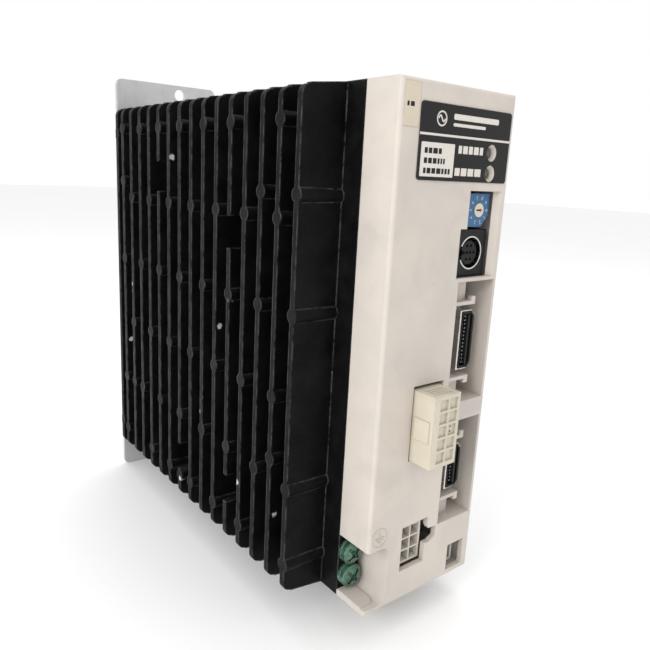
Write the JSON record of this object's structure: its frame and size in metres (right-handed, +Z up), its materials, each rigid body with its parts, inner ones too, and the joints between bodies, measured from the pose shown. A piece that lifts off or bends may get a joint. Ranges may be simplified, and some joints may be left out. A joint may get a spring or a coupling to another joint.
{
  "type": "servo drive",
  "caption": "Narrow panel-mounted servo drive: finned black die-cast side, steel shell, moulded front with plug, signal ports, address switch and earth terminal.",
  "frame": {"origin": "midway between the two fixing holes, on the back face of the rear plate", "axes": "+Z up, the moulded front faces -Y, the fins point to -X"},
  "size_m": [0.0646, 0.1708, 0.1824],
  "materials": {
    "cover_plastic": "warm off-white moulded, fine texture",
    "heat_sink_coating": "die-cast, black coating, grey worn edges",
    "zinc_sheet": "zinc-plated sheet",
    "plate_steel": "light grey zinc-plated sheet",
    "nameplate_film": "charcoal printed film",
    "label_white": "white label film",
    "label_beige": "beige label film",
    "light_plastic": "clear light guide",
    "led_plastic": "tinted clear",
    "power_laminate": "green solder mask",
    "control_laminate": "green solder mask",
    "insulation_film": "thin insulating film",
    "standoff_brass": "turned, nickel-free",
    "screw_zinc": "zinc-plated",
    "screw_dark": "dark zinc-plated",
    "moulding_black": "epoxy moulding",
    "capacitor_sleeve": "shrunk sleeve",
    "capacitor_sleeve_black": "shrunk sleeve",
    "capacitor_yellow": "potted box",
    "ferrite": "sintered ferrite",
    "coil_tape": "polyester tape",
    "copper_wire": "enamelled wire",
    "relay_blue": "sealed case",
    "cement": "ceramic case",
    "fuse_glass": "clear tube",
    "contact_tin": "tin-plated",
    "contact_gold": "gold flash",
    "connector_black": "glass-filled moulding",
    "connector_white": "white moulding",
    "plug_cream": "cream nylon, satin",
    "shell_nickel": "nickel-plated sheet",
    "switch_blue": "blue moulding",
    "dial_ivory": "ivory moulding",
    "earth_green": "green chromate, glossy",
    "earth_green_washer": "green chromate, glossy"
  },
  "bodies": {
    "housing": {"front_cover": "cover_plastic", "heat_sink": "heat_sink_coating", "side_shell": "zinc_sheet", "rear_plate": "plate_steel", "nameplate": "nameplate_film", "front_label": "label_white", "corner_label": "label_beige", "side_label": "label_white", "status_lights": "light_plastic", "status_leds": "led_plastic", "power_board": "power_laminate", "control_board": "control_laminate", "insulation_sheet": "insulation_film", "base_standoffs": "standoff_brass", "link_standoffs": "standoff_brass", "standoff_nuts": "screw_zinc", "base_screws": "screw_zinc", "power_board_screws": "screw_zinc", "control_board_screws": "screw_zinc", "case_screws": "screw_dark", "module_screws": "screw_zinc", "power_module": "moulding_black", "rectifier": "moulding_black", "bus_capacitors": "capacitor_sleeve", "filter_capacitors": "capacitor_sleeve_black", "film_capacitors": "capacitor_yellow", "transformer_core": "ferrite", "transformer_coil": "coil_tape", "choke_core": "ferrite", "choke_winding": "copper_wire", "relays": "relay_blue", "brake_resistor": "cement", "mains_fuse": "fuse_glass", "fuse_clips": "contact_tin", "board_link_header": "connector_black", "board_link_pins": "contact_gold", "board_link_socket": "connector_black", "processor": "moulding_black", "logic_chips": "moulding_black", "power_header": "connector_white", "power_header_pins": "contact_tin", "motor_header": "connector_white", "motor_header_pins": "contact_tin", "monitor_header": "connector_white", "io_port_shell": "shell_nickel", "io_port_insert": "connector_black", "io_port_pins": "contact_tin", "encoder_port_shell": "shell_nickel", "encoder_port_insert": "connector_black", "encoder_port_pins": "contact_tin", "serial_port_housing": "connector_black", "serial_port_ring": "shell_nickel", "address_switch_body": "switch_blue"},
    "power_plug": {"power_plug": "plug_cream", "power_plug_contacts": "contact_gold"},
    "address_dial": {"address_switch_dial": "dial_ivory"},
    "earth_washer_upper": {"earth_washer_upper": "earth_green_washer"},
    "earth_screw_upper": {"earth_screw_upper": "earth_green"},
    "earth_washer_lower": {"earth_washer_lower": "earth_green_washer"},
    "earth_screw_lower": {"earth_screw_lower": "earth_green"}
  },
  "joints": [
    {"name": "power_plug_pull", "type": "slide", "parent": "housing", "child": "power_plug", "axis": [0, -1, 0], "range_m": [0, 0.013]},
    {"name": "address_dial_turn", "type": "hinge", "parent": "housing", "child": "address_dial", "pos_m": [0.0237, -0.16035, 0.0454], "axis": [0, 1, 0], "continuous": true},
    {"name": "earth_upper_lift", "type": "slide", "parent": "housing", "child": "earth_washer_upper", "axis": [0, -1, 0], "range_m": [0, 0.0028]},
    {"name": "earth_upper_turn", "type": "hinge", "parent": "earth_washer_upper", "child": "earth_screw_upper", "pos_m": [-0.0115, -0.1491, -0.0647], "axis": [0, -1, 0], "range_deg": [0, 1440]},
    {"name": "earth_lower_lift", "type": "slide", "parent": "housing", "child": "earth_washer_lower", "axis": [0, -1, 0], "range_m": [0, 0.0028]},
    {"name": "earth_lower_turn", "type": "hinge", "parent": "earth_washer_lower", "child": "earth_screw_lower", "pos_m": [-0.0115, -0.1491, -0.0731], "axis": [0, -1, 0], "range_deg": [0, 1440]}
  ],
  "couplings": [
    {"joint": "earth_upper_turn", "follows": "earth_upper_lift", "rad_per_m": 8976},
    {"joint": "earth_lower_turn", "follows": "earth_lower_lift", "rad_per_m": 8976}
  ]
}
